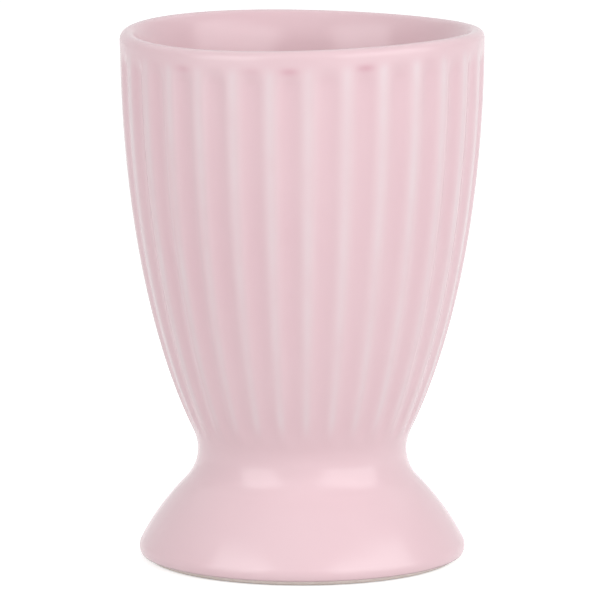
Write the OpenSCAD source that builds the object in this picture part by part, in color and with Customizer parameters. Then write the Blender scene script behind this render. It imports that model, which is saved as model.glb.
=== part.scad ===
// Egg cup: a fluted bowl stuck on a flared hollow foot, glazed but for its standing ring.
// The outside of the bowl is the lower part of half an egg shape, and the foot's outline is a
// chain of tangent arcs. Each surface is drawn as glazed, or set back by a skin, the thickness
// of the glaze, for the clay under it, so that clay and glaze meet face to face.

/* [Bowl] */
// Height from the table to the top of the rim
height = 73.8; // [69:0.2:78]
// Diameter of the rim
rim_d = 50; // [46:0.5:54]
// Thickness of the bowl's wall at the rim with its glaze, which the rim rounds over
wall_t = 3.3; // [2.8:0.1:4]
// Thickness of the bowl's floor above the joint, with its glaze
floor_t = 3.6; // [2.8:0.1:6]
// Thickness of the glaze
glaze_t = 0.35; // [0.2:0.05:0.45]

/* [Flutes] */
// Number of flutes round the bowl
flute_count = 30; // [24:1:34]
// Radius across the hollow of a flute
flute_r = 3.6; // [3:0.1:4.5]
// Depth of a flute under the rim
flute_top_depth = 0.6; // [0.4:0.05:0.7]
// Depth of a flute halfway down
flute_mid_depth = 0.52; // [0.4:0.02:0.56]
// Depth of a flute at its foot
flute_low_depth = 0.18; // [0.1:0.02:0.3]
// Plain band between the flutes and the rounding of the rim
rim_band = 0.5; // [0.5:0.1:4]
// Plain band between the tips of the flutes and the waist's hollow curve
waist_band = 0.6; // [0.4:0.1:4]

/* [Foot] */
// Largest diameter of the foot
foot_d = 45; // [41:0.5:49]
// Height of the waist, the narrowest place, above the table
waist_z = 15.3; // [14:0.1:16.5]
// Diameter of the waist
waist_d = 28.8; // [26:0.2:31]
// Radius of the hollow curve round the waist
waist_r = 6.2; // [4.5:0.1:7]
// Radius of the swelling curve down the foot's side
flank_r = 35; // [25:1:70]
// Radius that rounds the foot's outer edge
edge_r = 1.7; // [1.2:0.1:2.2]
// Width of the flat of the standing ring
ring_w = 1.6; // [0.8:0.1:3]
// Radius that rounds the inner edge of the standing ring
ring_r = 0.9; // [0.6:0.1:1.2]
// Thickness of the foot's side at the ceiling of the well, measured in from the waist
well_wall_t = 4.4; // [3.6:0.1:6]
// Thickness of the foot's top under the joint, with its glaze
foot_top_t = 6.8; // [5:0.1:9]
// Radius that turns the side of the well under the foot into its ceiling
well_r = 3.5; // [2:0.1:5]
// Height of the bare clay above the table
bare_h = 0.8; // [0.4:0.1:1.1]

/* [Hidden] */
$fa = 3;
$fs = 0.4;

// Angle of the line from one point to another
function aim(p, q) = atan2(q.y - p.y, q.x - p.x);
// Point at an angle on a circle
function on(c, r, a) = c + r * [cos(a), sin(a)];
// Point at one distance from p and another from q, left of the line from p to q
function meet(p, p_r, q, q_r) =
    let (d = norm(q - p), u = (q - p) / d, a = (p_r ^ 2 - q_r ^ 2 + d ^ 2) / (2 * d))
    p + a * u + sqrt(p_r ^ 2 - a ^ 2) * [-u.y, u.x];
// Centre of the circle through three points
function round_centre(p, q, s) =
    let (u = q - p, v = s - p, k = 2 * (u.x * v.y - u.y * v.x))
    p + [v.y * (u * u) - u.y * (v * v), u.x * (v * v) - v.x * (u * u)] / k;
// Heights where two bands of an outline join are kept to thousandths, so that they meet
parts_per_unit = 1000;
function whole(z) = round(z * parts_per_unit) / parts_per_unit;

// The rim is a half round on the wall, which is upright at the shoulder
rim_r = wall_t / 2;
shoulder_z = height - rim_r;

// Half width of the egg shape for a skin
function egg_a(skin) = rim_d / 2 - skin;
// Where the waist's curve has turned by an angle from upright, going up
waist_c = [waist_d / 2 + waist_r, waist_z];
function waist_point(skin, turn) = on(waist_c, waist_r + skin, 180 - turn);
// Half height of the egg shape that passes through that place
function egg_b_at(skin, p) = (shoulder_z - p.y) / sqrt(1 - (p.x / egg_a(skin)) ^ 2);
// How much more the egg has turned there than the curve
function turn_gap(skin, turn) =
    let (p = waist_point(skin, turn))
    atan2((shoulder_z - p.y) * egg_a(skin) ^ 2, p.x * egg_b_at(skin, p) ^ 2) - turn;
// Angle at which egg and curve touch, found by halving the range that holds it
angle_step = 0.0000001;
function waist_turn(skin, low = 0, high = 90) =
    let (mid = (low + high) / 2)
    high - low < angle_step ? mid
    : turn_gap(skin, mid) > 0 ? waist_turn(skin, mid, high)
    : waist_turn(skin, low, mid);
function egg_b(skin) = egg_b_at(skin, waist_point(skin, waist_turn(skin)));
function joint_z(skin) = waist_point(skin, waist_turn(skin)).y;

// Centres of the arcs below the waist, for a skin
function edge_c(skin) = [foot_d / 2 - skin - edge_r, edge_r];
function flank_c(skin) =
    meet(edge_c(skin), flank_r - skin - edge_r, waist_c, flank_r + waist_r);

// Bowl and foot are stuck together where the clay's hollow curve begins
foot_top = joint_z(glaze_t);
well_z = foot_top - foot_top_t;
floor_z = foot_top + floor_t;

// All space above a height
module above(z) {
    translate([0, 0, z]) cylinder(r = rim_d, h = height);
}

// Filled from the axis out to a corner of radius r, rounded at the bottom
module low_corner(c, r, top) {
    translate([0, top]) mirror([0, 1]) {
        square([c.x, top - c.y + r]);
        intersection() {
            translate([c.x, top - c.y]) circle(r);
            translate([c.x, 0]) square([2 * r, 2 * r]);
        }
    }
}

// Filled out to the outside of the foot, and up past the height where it leaves the egg
module foot_outline(skin) {
    flank = flank_c(skin);
    edge = edge_c(skin);
    flank_top = whole(on(waist_c, waist_r + skin, aim(waist_c, flank)).y);
    edge_top = whole(on(flank, flank_r - skin, aim(flank, edge)).y);
    difference() {
        translate([0, flank_top]) square([waist_c.x, waist_z + waist_r - flank_top]);
        translate(waist_c) circle(waist_r + skin);
    }
    intersection() {
        translate(flank) circle(flank_r - skin, $fa = 1);
        translate([0, edge_top]) square([foot_d, flank_top - edge_top]);
    }
    low_corner(edge, edge_r, edge_top);
}

// Foot without its well, up to where it leaves the egg
module turned_foot(skin) {
    difference() {
        rotate_extrude() foot_outline(skin);
        above(joint_z(skin));
    }
}

// Well under the foot, made larger by a skin: the round of the standing ring, a cone that
// touches it, and the round that turns the cone into the ceiling
module well(skin) {
    mouth = [foot_d / 2 - edge_r - ring_w - 2 * glaze_t + skin, ring_r];
    corner = [waist_d / 2 - well_wall_t - well_r, whole(well_z - well_r)];
    corner_r = well_r + skin;
    lean = aim(corner, mouth) + acos((ring_r + corner_r) / norm(mouth - corner));
    low = on(mouth, -ring_r, lean);
    high = on(corner, corner_r, lean);
    low_z = whole(low.y);
    high_z = whole(high.y);
    difference() {
        square([mouth.x, low_z]);
        translate(mouth) circle(ring_r);
    }
    translate([mouth.x, low_z]) polygon([
        [-mouth.x, 0], [low.x - mouth.x + (low.y - low_z) * tan(lean), 0],
        [high.x - mouth.x + (high.y - high_z) * tan(lean), high_z - low_z],
        [-mouth.x, high_z - low_z]
    ]);
    mirror([0, 1]) low_corner([corner.x, -corner.y], corner_r, -high_z);
}

// Space of one flute on the round bowl, before it is stretched to an egg: a rod bent so that
// its edge keeps the depths asked for under the rim, halfway down and at the foot
module flute(skin) {
    a = egg_a(skin);
    b = egg_b(skin);
    top_t = -asin((rim_band - skin) / b);
    end_t = -asin((shoulder_z - joint_z(0) - waist_band + skin) / b);
    mid_t = (top_t + end_t) / 2;
    top = [a * cos(top_t) - flute_top_depth, a * sin(top_t)];
    mid = [a * cos(mid_t) - flute_mid_depth, a * sin(mid_t)];
    end = [a * cos(end_t) - flute_low_depth, a * sin(end_t)];
    c = round_centre(top, mid, end);
    bend_r = norm(top - c) + flute_r + skin;
    low_a = aim(c, end);
    translate([c.x, 0, c.y]) rotate([90, 0, 0]) rotate(low_a)
        rotate_extrude(angle = aim(c, top) - low_a)
            translate([bend_r, 0]) circle(flute_r + skin);
}

// One flute in three, from a given one on: rods side by side would cross in the open
module every_third_flute(first, skin) {
    for (i = [first : 3 : flute_count - 1]) rotate(i * 360 / flute_count) flute(skin);
}

// Outside of the bowl with its flutes, from where the foot leaves it up to the shoulder
module fluted_egg(skin) {
    a = egg_a(skin);
    difference() {
        intersection() {
            translate([0, 0, shoulder_z]) scale([1, 1, egg_b(skin) / a]) difference() {
                difference() {
                    difference() {
                        sphere(a);
                        every_third_flute(0, skin);
                    }
                    every_third_flute(1, skin);
                }
                every_third_flute(2, skin);
            }
            above(joint_z(skin));
        }
        above(shoulder_z);
    }
}

// Egg-shaped hollow of the bowl, made larger by a skin
module bowl_hollow(skin) {
    a = rim_d / 2 - wall_t + skin;
    b = shoulder_z - floor_z + skin;
    translate([0, 0, shoulder_z]) scale([1, 1, b / a]) sphere(a);
}

// Rounding of the rim above the shoulder
module rim(skin) {
    intersection() {
        rotate_extrude() translate([rim_d / 2 - rim_r, shoulder_z]) circle(rim_r - skin);
        above(shoulder_z);
    }
}

// Bowl of fired clay, down to its joint with the foot
module bowl_clay() {
    difference() {
        fluted_egg(glaze_t);
        bowl_hollow(glaze_t);
    }
    rim(glaze_t);
}

module bowl_body() {
    color([0.87, 0.83, 0.78]) bowl_clay();
}

// Foot of fired clay, with its well and its bare standing ring
module foot_body() {
    color([0.84, 0.80, 0.74]) difference() {
        turned_foot(glaze_t);
        rotate_extrude() well(glaze_t);
    }
}

// Pink glaze over the inside, the rim, the flutes and the foot
module glaze_coat() {
    color([0.93, 0.74, 0.79]) difference() {
        union() {
            difference() {
                union() {
                    fluted_egg(0);
                    intersection() {
                        turned_foot(0);
                        above(bare_h);
                    }
                }
                bowl_hollow(0);
            }
            rim(0);
        }
        bowl_clay();
        turned_foot(glaze_t);
    }
}

// Pink glaze in the well under the foot
module well_glaze() {
    color([0.91, 0.71, 0.76]) rotate_extrude() difference() {
        intersection() {
            well(glaze_t);
            translate([0, bare_h]) square([rim_d, foot_top]);
        }
        well(0);
    }
}

bowl_body();
foot_body();
glaze_coat();
well_glaze();
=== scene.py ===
# Fluted egg cup in glossy pale pink glaze, dressed round its CAD model
import math
import random
import bpy
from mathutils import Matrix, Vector


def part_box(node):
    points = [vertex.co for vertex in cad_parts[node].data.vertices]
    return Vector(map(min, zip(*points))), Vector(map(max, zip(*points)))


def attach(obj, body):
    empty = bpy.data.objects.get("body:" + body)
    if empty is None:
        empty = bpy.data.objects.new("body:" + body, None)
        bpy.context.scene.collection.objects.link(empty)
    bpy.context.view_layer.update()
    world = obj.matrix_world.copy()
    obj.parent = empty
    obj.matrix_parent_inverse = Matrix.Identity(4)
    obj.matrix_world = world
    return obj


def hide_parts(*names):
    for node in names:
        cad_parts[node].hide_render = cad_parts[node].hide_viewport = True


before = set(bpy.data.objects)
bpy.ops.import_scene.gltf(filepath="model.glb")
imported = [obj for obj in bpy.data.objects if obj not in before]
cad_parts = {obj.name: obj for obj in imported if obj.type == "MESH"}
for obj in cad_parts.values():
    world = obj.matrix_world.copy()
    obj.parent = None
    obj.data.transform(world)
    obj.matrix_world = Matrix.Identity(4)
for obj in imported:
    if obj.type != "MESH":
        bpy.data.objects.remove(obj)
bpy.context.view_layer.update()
mm = 0.001

# What the CAD model settles: the rim, the bare line above the table and the joint at the waist
coatLow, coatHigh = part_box("glaze_coat")
rimRadius = coatHigh[0]
bareHeight = coatLow[2]
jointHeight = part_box("bowl_body")[0][2]

cup = {
    "glaze": 0.35 * mm,
    "lip": 1.1 * mm,  # radius that rounds the rim
    "lipLean": math.radians(30),  # where that rounding ends inside, from upright
    "mouthBends": [  # on down the inside: radius, lean from upright where it ends, rows of faces
        (14 * mm, math.radians(10), 8),
        (45 * mm, math.radians(4), 4),
    ],
    "floorHeight": 21.8 * mm,
    "waistHeight": 15.3 * mm,
    "waistRadius": 14.4 * mm,
    "waistCurve": 6.2 * mm,
    "footRadius": 22.5 * mm,
    "flankCurve": 35 * mm,
    "edgeCurve": 1.7 * mm,
    "rimRise": 0.4 * mm,  # how far the uneven rim may stand above its mean height
}
shoulder = coatHigh[2] - cup["rimRise"] - cup["lip"]


# Drawing the outline

def aim(start, end):
    return math.atan2(end[1] - start[1], end[0] - start[0])


def arc(centre, radius, start, end, steps):
    turns = [start + (end - start) * i / steps for i in range(steps + 1)]
    return [(centre[0] + radius * math.cos(t), centre[1] + radius * math.sin(t)) for t in turns]


def meet(start, startRadius, end, endRadius):
    # left of the line from start to end, at a distance from each
    length = math.dist(start, end)
    along = (startRadius ** 2 - endRadius ** 2 + length ** 2) / (2 * length)
    aside = math.sqrt(startRadius ** 2 - along ** 2)
    ux, uz = (end[0] - start[0]) / length, (end[1] - start[1]) / length
    return (start[0] + along * ux - aside * uz, start[1] + along * uz + aside * ux)


footRows = {"edge": 7, "flank": 8, "waist": 11}  # rows of faces on each arc


def footOutline():
    # from the bare line round the edge, up the flank and round the waist to the joint
    edgeCentre = (cup["footRadius"] - cup["edgeCurve"], cup["edgeCurve"])
    waistCentre = (cup["waistRadius"] + cup["waistCurve"], cup["waistHeight"])
    flankCentre = meet(edgeCentre, cup["flankCurve"] - cup["edgeCurve"],
                       waistCentre, cup["flankCurve"] + cup["waistCurve"])
    edgeStart = math.asin((bareHeight - cup["edgeCurve"]) / cup["edgeCurve"])
    edgeEnd = aim(flankCentre, edgeCentre)
    flankEnd = aim(flankCentre, waistCentre)
    turn = math.asin((jointHeight - cup["waistHeight"]) / (cup["waistCurve"] + cup["glaze"]))
    points = arc(edgeCentre, cup["edgeCurve"], edgeStart, edgeEnd, footRows["edge"])
    points += arc(flankCentre, cup["flankCurve"], edgeEnd, flankEnd, footRows["flank"])[1:]
    points += arc(waistCentre, cup["waistCurve"], math.pi + flankEnd, math.pi - turn,
                  footRows["waist"])[1:]
    return points


footPoints = footOutline()


def eggArc(centre, halfWidth, halfHeight, start, end, steps):
    return [(centre[0] + halfWidth * x, centre[1] + halfHeight * z)
            for x, z in arc((0, 0), 1, start, end, steps)]


def eggHeight(joint, halfWidth):
    # half height of the egg shape that widens from the joint to the shoulder
    return (shoulder - joint[1]) / math.sqrt(1 - (joint[0] / halfWidth) ** 2)


def hollowArc(top, lean, floor, steps):
    # pointed end of an egg shape that leans as the mouth does at the top and is level at the floor
    drop = top[1] - floor
    share = math.tan(lean) * drop / top[0]
    above = share * drop / (1 - 2 * share)
    halfHeight = above + drop
    halfWidth = top[0] / math.sqrt(1 - (above / halfHeight) ** 2)
    start = -math.asin(above / halfHeight)
    return eggArc((0, top[1] + above), halfWidth, halfHeight, start, -math.pi / 2, steps)


def bowlOutline(joint, skin, rows):
    # from the joint up the outside, over the rim and down the hollow to its pole
    halfWidth = rimRadius - skin
    halfHeight = eggHeight(joint, halfWidth)
    start = -math.asin((shoulder - joint[1]) / halfHeight)
    topRows = -math.asin(rows["topBand"] / halfHeight)
    points = eggArc((0, shoulder), halfWidth, halfHeight, start, topRows, rows["side"])
    points += eggArc((0, shoulder), halfWidth, halfHeight, topRows, 0, rows["top"])[1:]
    crest = (rimRadius - cup["lip"], shoulder)
    centre, radius, turn = crest, cup["lip"], math.pi - cup["lipLean"]
    points += arc(centre, radius - skin, 0, turn, rows["rim"])[1:]
    for bend, lean, steps in cup["mouthBends"]:
        reach = bend - radius
        centre = (centre[0] - reach * math.cos(turn), centre[1] - reach * math.sin(turn))
        points += arc(centre, bend - skin, turn, math.pi - lean, steps)[1:]
        radius, turn = bend, math.pi - lean
    points += hollowArc(points[-1], lean, cup["floorHeight"] - skin, rows["hollow"])[1:]
    points[-1] = (0, points[-1][1])
    return points


# Turning and shaping on the wheel

wheel = {
    "seed": 2 * mm,  # the plane that is merged to the first vertex
    "weld": 0.002 * mm,  # vertices closer together than this become one
}


def deselectAll():
    bpy.ops.object.select_all(action="DESELECT")


def turnShape(name, points, columns):
    # one vertex is drawn out along the outline, then spun round the axis
    deselectAll()
    first = points[0]
    bpy.ops.mesh.primitive_plane_add(size=wheel["seed"], location=(0, 0, 0))
    piece = bpy.context.active_object
    piece.name = name
    piece.data.name = name
    bpy.ops.object.mode_set(mode="EDIT")
    bpy.ops.mesh.select_all(action="SELECT")
    bpy.ops.mesh.merge(type="CENTER")
    bpy.ops.transform.translate(value=(first[0], 0, first[1]))
    for last, point in zip(points, points[1:]):
        step = (point[0] - last[0], 0, point[1] - last[1])
        bpy.ops.mesh.extrude_region_move(TRANSFORM_OT_translate={"value": step})
    bpy.ops.mesh.select_all(action="SELECT")
    bpy.ops.mesh.spin(steps=columns, angle=2 * math.pi, center=(0, 0, 0), axis=(0, 0, 1))
    bpy.ops.mesh.select_all(action="SELECT")
    bpy.ops.mesh.remove_doubles(threshold=wheel["weld"])
    bpy.ops.mesh.normals_make_consistent(inside=False)
    bpy.ops.object.mode_set(mode="OBJECT")
    return piece


def applyModifier(piece, name):
    deselectAll()
    piece.select_set(True)
    bpy.context.view_layer.objects.active = piece
    bpy.ops.object.modifier_apply(modifier=name)


def smoothStep(value):
    value = min(1, max(0, value))
    return value * value * (3 - 2 * value)


flutes = {
    "count": 30,
    "hollow": 3.6 * mm,  # radius across a flute
    "topDepth": 0.46 * mm,
    "lowDepth": 0.16 * mm,
    "lowHeight": 18.4 * mm,  # where the flutes run out
    "fall": 2.8,  # how late the depth falls off on the way down
    "softness": 0.05 * mm,  # how much the ridges are blurred
    "topGap": 0.5 * mm,  # from the shoulder down to the arch over a flute
    "archDrop": 0.5 * mm,  # from the middle of that arch down to its ends
    "topFade": 3.2 * mm,  # from the arch down to the full depth
    "lowFade": 3.0 * mm,  # half of it above lowHeight and half below
    "archUneven": 0.25 * mm,  # how much lower than the gap an arch may be
    "poolsAndShade": (-0.5, 0.8),  # strength of the dark pool under an arch, partly pooled glaze and partly painted shade, below zero none
    "seed": 7,
}
hand = random.Random(flutes["seed"])


def flutePlace():
    # what differs by chance from flute to flute
    drop = hand.uniform(0, 1)
    # how strong each flute's dark pool is: pooled glaze and painted shade under its arch
    poolAndShade = max(0, hand.uniform(*flutes["poolsAndShade"]))
    hand.uniform(-1, 1)  # a spare draw, so that the flutes after this one keep theirs
    return {"drop": drop, "poolAndShade": poolAndShade}


flutePlaces = [flutePlace() for i in range(flutes["count"])]


def fluteAt(x, y, z):
    # depth in metres, the flute's own numbers, the distance from its middle and its top's height
    radius = math.hypot(x, y)
    pitch = 2 * math.pi / flutes["count"]
    turn = math.atan2(y, x) / pitch
    index = round(turn)
    place = flutePlaces[index % flutes["count"]]
    aside = (turn - index) * pitch * radius
    top = shoulder - flutes["topGap"] - flutes["archUneven"] * place["drop"]
    down = min(1, max(0, (top - z) / (top - flutes["lowHeight"])))
    depth = flutes["topDepth"] - (flutes["topDepth"] - flutes["lowDepth"]) * down ** flutes["fall"]
    cut = depth - aside ** 2 / (2 * radius)
    cut -= flutes["hollow"] - math.sqrt(flutes["hollow"] ** 2 - aside ** 2)
    soft = flutes["softness"] * math.log1p(math.exp(cut / flutes["softness"]))
    half = pitch * radius / 2
    arch = top - flutes["archDrop"] * (aside / half) ** 2
    soft *= smoothStep((arch - z) / flutes["topFade"])
    soft *= smoothStep((z - flutes["lowHeight"]) / flutes["lowFade"] + 0.5)
    return soft, place, aside, top


def isOutside(vertex):
    # on the egg-shaped outside, and not in the hollow or on the foot
    x, y, z = vertex.co
    if z > shoulder or z < jointHeight:
        return False
    side = rimRadius * math.sqrt(1 - ((shoulder - z) / eggHeight(footPoints[-1], rimRadius)) ** 2)
    return math.hypot(x, y) > side - 2 * cup["glaze"]


def cutFlutes(piece):
    group = piece.vertex_groups.new(name="fluteDepth")
    for vertex in piece.data.vertices:
        if isOutside(vertex):
            depth = fluteAt(*vertex.co)[0]
            group.add([vertex.index], min(1, depth / flutes["topDepth"]), "REPLACE")
    cut = piece.modifiers.new("cutFlutes", "DISPLACE")
    cut.vertex_group = group.name
    cut.mid_level = 0
    cut.strength = -flutes["topDepth"]
    applyModifier(piece, cut.name)


rimWarp = {
    "tilt": 0.13 * mm,  # lifts the right side
    "twist": 0.3 * mm,  # lifts the front right and the back left
    "from": 44 * mm,
}


def rimLift(x, y, z):
    aside = math.atan2(x, -y)
    lift = rimWarp["tilt"] * math.sin(aside) + rimWarp["twist"] * math.sin(2 * aside)
    return lift * smoothStep((z - rimWarp["from"]) / (shoulder - rimWarp["from"]))


def warpRim(piece):
    # the real rim isn't quite level: high at the front right, low at the front left
    for name, most in (("rimRaised", cup["rimRise"]), ("rimLowered", -cup["rimRise"])):
        group = piece.vertex_groups.new(name=name)
        for vertex in piece.data.vertices:
            share = rimLift(*vertex.co) / most
            if share > 0:
                group.add([vertex.index], min(1, share), "REPLACE")
        warp = piece.modifiers.new(name, "DISPLACE")
        warp.vertex_group = group.name
        warp.direction = "Z"
        warp.mid_level = 0
        warp.strength = most
        applyModifier(piece, warp.name)


glazeRun = {
    "ridgeShare": 0.3,  # reach of the thin line from a ridge, as a share of half a flute's width
    "ridgeOver": 0.3 * mm,  # how far the line starts above the top of a flute
    "ridgeTopFade": 2 * mm,
    "ridgeLowFade": 4 * mm,
    "inFlutes": 0.15,  # how much of the deep colour a full flute takes
    "poolAndShadeDrop": 0.9 * mm,  # from the top of a flute down to its pool of glaze and painted shade
    "poolAndShadeHeight": 0.5 * mm,
    "poolAndShadeWidth": 1.2 * mm,
}


def paintGlaze(piece):
    # how thin the glaze runs on the ridges and how thick it stands in the flutes, and the painted
    # shade in the pools under the arches
    thin = piece.data.attributes.new("glazeThin", "FLOAT", "POINT")
    thickAndShade = piece.data.attributes.new("glazeThickAndShade", "FLOAT", "POINT")
    for vertex in piece.data.vertices:
        if not isOutside(vertex):
            continue
        x, y, z = vertex.co
        depth, place, aside, top = fluteAt(x, y, z)
        half = math.pi / flutes["count"] * math.hypot(x, y)
        ridge = math.exp(-((half - abs(aside)) / (glazeRun["ridgeShare"] * half)) ** 2)
        ridge *= smoothStep((top + glazeRun["ridgeOver"] - z) / glazeRun["ridgeTopFade"])
        ridge *= smoothStep((z - flutes["lowHeight"]) / glazeRun["ridgeLowFade"])
        # the pool under each arch is partly thick glaze and partly painted shade, where the
        # flute's top faces down
        poolAndShadeMiddle = top - glazeRun["poolAndShadeDrop"]
        up, across = (z - poolAndShadeMiddle) / glazeRun["poolAndShadeHeight"], aside / glazeRun["poolAndShadeWidth"]
        poolAndShade = math.exp(-up ** 2 - across ** 2)
        inFlute = glazeRun["inFlutes"] * smoothStep(depth / flutes["topDepth"])
        thin.data[vertex.index].value = ridge
        # thick glaze in the flutes plus the pool of glaze and painted shade under the arch
        thickAndShade.data[vertex.index].value = inFlute + poolAndShade * place["poolAndShade"]


# Rows of faces up each stretch of the outline, closer in the top band, and columns to a flute
coatRows = {"side": 36, "top": 15, "topBand": 3.6 * mm, "rim": 10, "hollow": 20, "columns": 14}


def makeCoat():
    points = footPoints[:-1] + bowlOutline(footPoints[-1], 0, coatRows)
    coat = turnShape("glazeCoat", points, coatRows["columns"] * flutes["count"])
    cutFlutes(coat)
    paintGlaze(coat)
    warpRim(coat)
    skin = coat.modifiers.new("glazeThickness", "SOLIDIFY")
    skin.thickness = cup["glaze"]
    skin.offset = -1
    applyModifier(coat, skin.name)
    coat.data.shade_smooth()
    coat.data.materials.append(pinkGlaze())
    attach(coat, "root")
    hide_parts("glaze_coat")
    return coat


clayRows = {"side": 30, "top": 6, "topBand": 3.6 * mm, "rim": 6, "hollow": 16, "columns": 8}


def makeClayBowl():
    skin = cup["glaze"]
    waistCentre = cup["waistRadius"] + cup["waistCurve"]
    up = jointHeight - cup["waistHeight"]
    joint = (waistCentre - math.sqrt((cup["waistCurve"] + skin) ** 2 - up ** 2), jointHeight)
    points = [(0, jointHeight)] + bowlOutline(joint, skin, clayRows)
    bowl = turnShape("clayBowl", points, clayRows["columns"] * flutes["count"])
    cutFlutes(bowl)
    warpRim(bowl)
    bowl.data.shade_smooth()
    bowl.data.materials.append(firedClay())
    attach(bowl, "root")
    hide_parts("bowl_body")
    return bowl


# Finishes

def newMaterial(name):
    material = bpy.data.materials.new(name)
    material.use_nodes = True
    nodes = material.node_tree.nodes
    return material, nodes, material.node_tree.links, nodes["Principled BSDF"]


def noiseNode(nodes, links, pattern):
    place = nodes.new("ShaderNodeTexCoord")
    noise = nodes.new("ShaderNodeTexNoise")
    noise.inputs["Scale"].default_value = pattern["scale"]
    noise.inputs["Detail"].default_value = pattern["detail"]
    noise.inputs["Roughness"].default_value = pattern["rough"]
    links.new(place.outputs["Object"], noise.inputs["Vector"])
    return noise.outputs["Fac"]


noiseMiddle = (0.3, 0.7)  # nearly all of a noise lies between these


def patchNode(nodes, links, pattern):
    # noise spread out between the pattern's low and high values
    noise = noiseNode(nodes, links, pattern)
    spread = nodes.new("ShaderNodeMapRange")
    spread.inputs["To Min"].default_value = pattern["low"]
    spread.inputs["To Max"].default_value = pattern["high"]
    spread.inputs["From Min"].default_value = noiseMiddle[0]
    spread.inputs["From Max"].default_value = noiseMiddle[1]
    links.new(noise, spread.inputs["Value"])
    return spread.outputs["Result"]


def addBump(nodes, links, shader, pattern):
    bump = nodes.new("ShaderNodeBump")
    bump.inputs["Strength"].default_value = pattern["strength"]
    bump.inputs["Distance"].default_value = pattern["distance"]
    links.new(noiseNode(nodes, links, pattern), bump.inputs["Height"])
    links.new(bump.outputs["Normal"], shader.inputs["Normal"])


def mathNode(nodes, links, operation, first, second):
    node = nodes.new("ShaderNodeMath")
    node.operation = operation
    for socket, value in zip(node.inputs, (first, second)):
        if isinstance(value, (int, float)):
            socket.default_value = value
        else:
            links.new(value, socket)
    return node.outputs["Value"]


def mixNode(nodes, links, factor, first, second):
    node = nodes.new("ShaderNodeMix")
    node.data_type = "RGBA"
    links.new(factor, node.inputs["Factor"])
    for socket, value in ((node.inputs["A"], first), (node.inputs["B"], second)):
        if isinstance(value, tuple):
            socket.default_value = value
        else:
            links.new(value, socket)
    return node.outputs["Result"]


def screenColour(red, green, blue):
    # a colour as a paint program names it, 0 to 255, turned into linear light
    levels = [level / 255 for level in (red, green, blue)]
    return tuple(v / 12.92 if v < 0.04045 else ((v + 0.055) / 1.055) ** 2.4 for v in levels) + (1,)


glaze = {
    "pink": screenColour(225, 195, 201),
    # deep pink is thick glaze, and under the arches also painted shade
    "deepPinkAndShade": screenColour(214, 166, 178),
    "thinPink": screenColour(226, 207, 211),
    "ridgePatches": {"scale": 90, "detail": 3, "rough": 0.5, "low": 0.35, "high": 1},
    "clouds": {"scale": 45, "detail": 4, "rough": 0.5, "low": -0.06, "high": 0.1},
    "sheen": {"scale": 60, "detail": 2, "rough": 0.5, "low": 0.17, "high": 0.23},
    "ripple": {"scale": 160, "detail": 1, "rough": 0.5, "strength": 0.1, "distance": 1 * mm},
    "ior": 1.5,
}


def pinkGlaze():
    if "pinkGlaze" in bpy.data.materials:
        return bpy.data.materials["pinkGlaze"]
    material, nodes, links, shader = newMaterial("pinkGlaze")
    thin = nodes.new("ShaderNodeAttribute")
    thin.attribute_name = "glazeThin"
    thickAndShade = nodes.new("ShaderNodeAttribute")
    thickAndShade.attribute_name = "glazeThickAndShade"
    patches = patchNode(nodes, links, glaze["ridgePatches"])
    ridges = mathNode(nodes, links, "MULTIPLY", thin.outputs["Fac"], patches)
    clouds = patchNode(nodes, links, glaze["clouds"])
    # thick glaze in the flutes, random clouds and the painted shade under the arches mix towards
    # deep pink
    pooledAndShaded = mathNode(nodes, links, "ADD", thickAndShade.outputs["Fac"], clouds)
    colour = mixNode(nodes, links, pooledAndShaded, glaze["pink"], glaze["deepPinkAndShade"])
    colour = mixNode(nodes, links, ridges, colour, glaze["thinPink"])
    links.new(colour, shader.inputs["Base Color"])
    links.new(patchNode(nodes, links, glaze["sheen"]), shader.inputs["Roughness"])
    shader.inputs["IOR"].default_value = glaze["ior"]
    addBump(nodes, links, shader, glaze["ripple"])
    return material


clay = {
    "colour": screenColour(244, 233, 227),
    "darker": screenColour(234, 221, 213),
    "roughness": 0.85,
    "grit": {"scale": 900, "detail": 5, "rough": 0.7, "low": 0, "high": 1},
    "grain": {"scale": 1500, "detail": 4, "rough": 0.7, "strength": 0.35, "distance": 0.1 * mm},
}


def firedClay():
    if "firedClay" in bpy.data.materials:
        return bpy.data.materials["firedClay"]
    material, nodes, links, shader = newMaterial("firedClay")
    grit = patchNode(nodes, links, clay["grit"])
    colour = mixNode(nodes, links, grit, clay["darker"], clay["colour"])
    links.new(colour, shader.inputs["Base Color"])
    shader.inputs["Roughness"].default_value = clay["roughness"]
    addBump(nodes, links, shader, clay["grain"])
    return material


def dressNode(name, material):
    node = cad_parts[name]
    for slotPlace in node.material_slots:
        slotPlace.material = material


# Studio

studio = {
    "fill": 0.25,  # strength of the white room as light, where it isn't looked at or mirrored
    "aimHeight": 40 * mm,
    "lamps": [  # turn from the front and rise in degrees, sizes in metres, power in watts
        {"name": "leftSoftbox", "turn": -50, "rise": 20, "distance": 0.8,
         "width": 0.62, "height": 0.66, "power": 2.65},
        {"name": "rightSoftbox", "turn": 52, "rise": 19, "distance": 0.8,
         "width": 1.0, "height": 0.66, "power": 4.45},
        {"name": "topSoftbox", "turn": 0, "rise": 84, "distance": 1.2,
         "width": 4.0, "height": 4.0, "power": 20.0},
    ],
}
paleFloor = {
    "size": 6,
    "colour": (0.75, 0.75, 0.75, 1),
    "roughness": 0.9,
    "specular": 0.1,
    "lift": 0.6,  # glow where it is looked at or mirrored
}
view = {
    "distance": 919 * mm,
    "height": 182.1 * mm,
    "turn": 2,  # degrees to the left of the cup's front
    "aimHeight": 35.9 * mm,
    "aimAside": -0.29 * mm,
    "lens": 405.3,
    "sensor": 36,
    "nearest": 10 * mm,
}


def aimAt(thing, target):
    thing.rotation_euler = (Vector(target) - thing.location).to_track_quat("-Z", "Y").to_euler()


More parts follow.
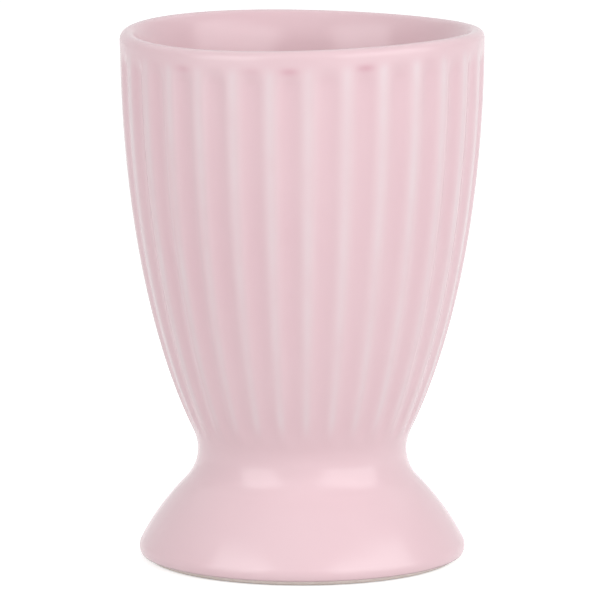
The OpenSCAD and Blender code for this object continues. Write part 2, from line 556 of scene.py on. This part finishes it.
def seenDirectly(nodes, links):
    # one where the camera, a reflection or clear glass looks at it
    path = nodes.new("ShaderNodeLightPath")
    camera, glossy = path.outputs["Is Camera Ray"], path.outputs["Is Glossy Ray"]
    seen = mathNode(nodes, links, "MAXIMUM", camera, glossy)
    return mathNode(nodes, links, "MAXIMUM", seen, path.outputs["Is Transmission Ray"])


def makeFloor():
    deselectAll()
    bpy.ops.mesh.primitive_plane_add(size=paleFloor["size"])
    floor = bpy.context.active_object
    floor.name = "paleFloor"
    material, nodes, links, shader = newMaterial("paleFloor")
    shader.inputs["Base Color"].default_value = paleFloor["colour"]
    shader.inputs["Roughness"].default_value = paleFloor["roughness"]
    shader.inputs["Specular IOR Level"].default_value = paleFloor["specular"]
    shader.inputs["Emission Color"].default_value = (1, 1, 1, 1)
    seen = seenDirectly(nodes, links)
    lift = mathNode(nodes, links, "MULTIPLY", seen, paleFloor["lift"])
    links.new(lift, shader.inputs["Emission Strength"])
    floor.data.materials.append(material)


def makeWorld():
    world = bpy.data.worlds.new("paleRoom")
    bpy.context.scene.world = world
    world.use_nodes = True
    nodes, links = world.node_tree.nodes, world.node_tree.links
    background = nodes["Background"]
    background.inputs["Color"].default_value = (1, 1, 1, 1)
    seen = seenDirectly(nodes, links)
    extra = mathNode(nodes, links, "MULTIPLY", seen, 1 - studio["fill"])
    strength = mathNode(nodes, links, "ADD", extra, studio["fill"])
    links.new(strength, background.inputs["Strength"])


def makeLamps():
    for lamp in studio["lamps"]:
        light = bpy.data.lights.new(lamp["name"], "AREA")
        light.shape = "RECTANGLE"
        light.size = lamp["width"]
        light.size_y = lamp["height"]
        light.energy = lamp["power"]
        softbox = bpy.data.objects.new(lamp["name"], light)
        bpy.context.collection.objects.link(softbox)
        turn, rise = math.radians(lamp["turn"]), math.radians(lamp["rise"])
        reach = lamp["distance"] * math.cos(rise)
        lift = studio["aimHeight"] + lamp["distance"] * math.sin(rise)
        softbox.location = (reach * math.sin(turn), -reach * math.cos(turn), lift)
        aimAt(softbox, (0, 0, studio["aimHeight"]))


def makeCamera():
    camera = bpy.data.objects.new("camera", bpy.data.cameras.new("camera"))
    bpy.context.collection.objects.link(camera)
    turn = math.radians(view["turn"])
    aside, back = view["distance"] * math.sin(turn), view["distance"] * math.cos(turn)
    camera.location = (-aside, -back, view["height"])
    aimAt(camera, (view["aimAside"], 0, view["aimHeight"]))
    camera.data.lens = view["lens"]
    camera.data.sensor_width = view["sensor"]
    camera.data.clip_start = view["nearest"]
    bpy.context.scene.camera = camera


bpy.context.scene.view_settings.view_transform = "Standard"
makeFloor()
makeWorld()
makeLamps()
makeCamera()
print("studio ready")
makeCoat()
print("glaze coat turned and fluted")
makeClayBowl()
print("clay bowl turned")
dressNode("foot_body", firedClay())
dressNode("well_glaze", pinkGlaze())
print("foot and well dressed")
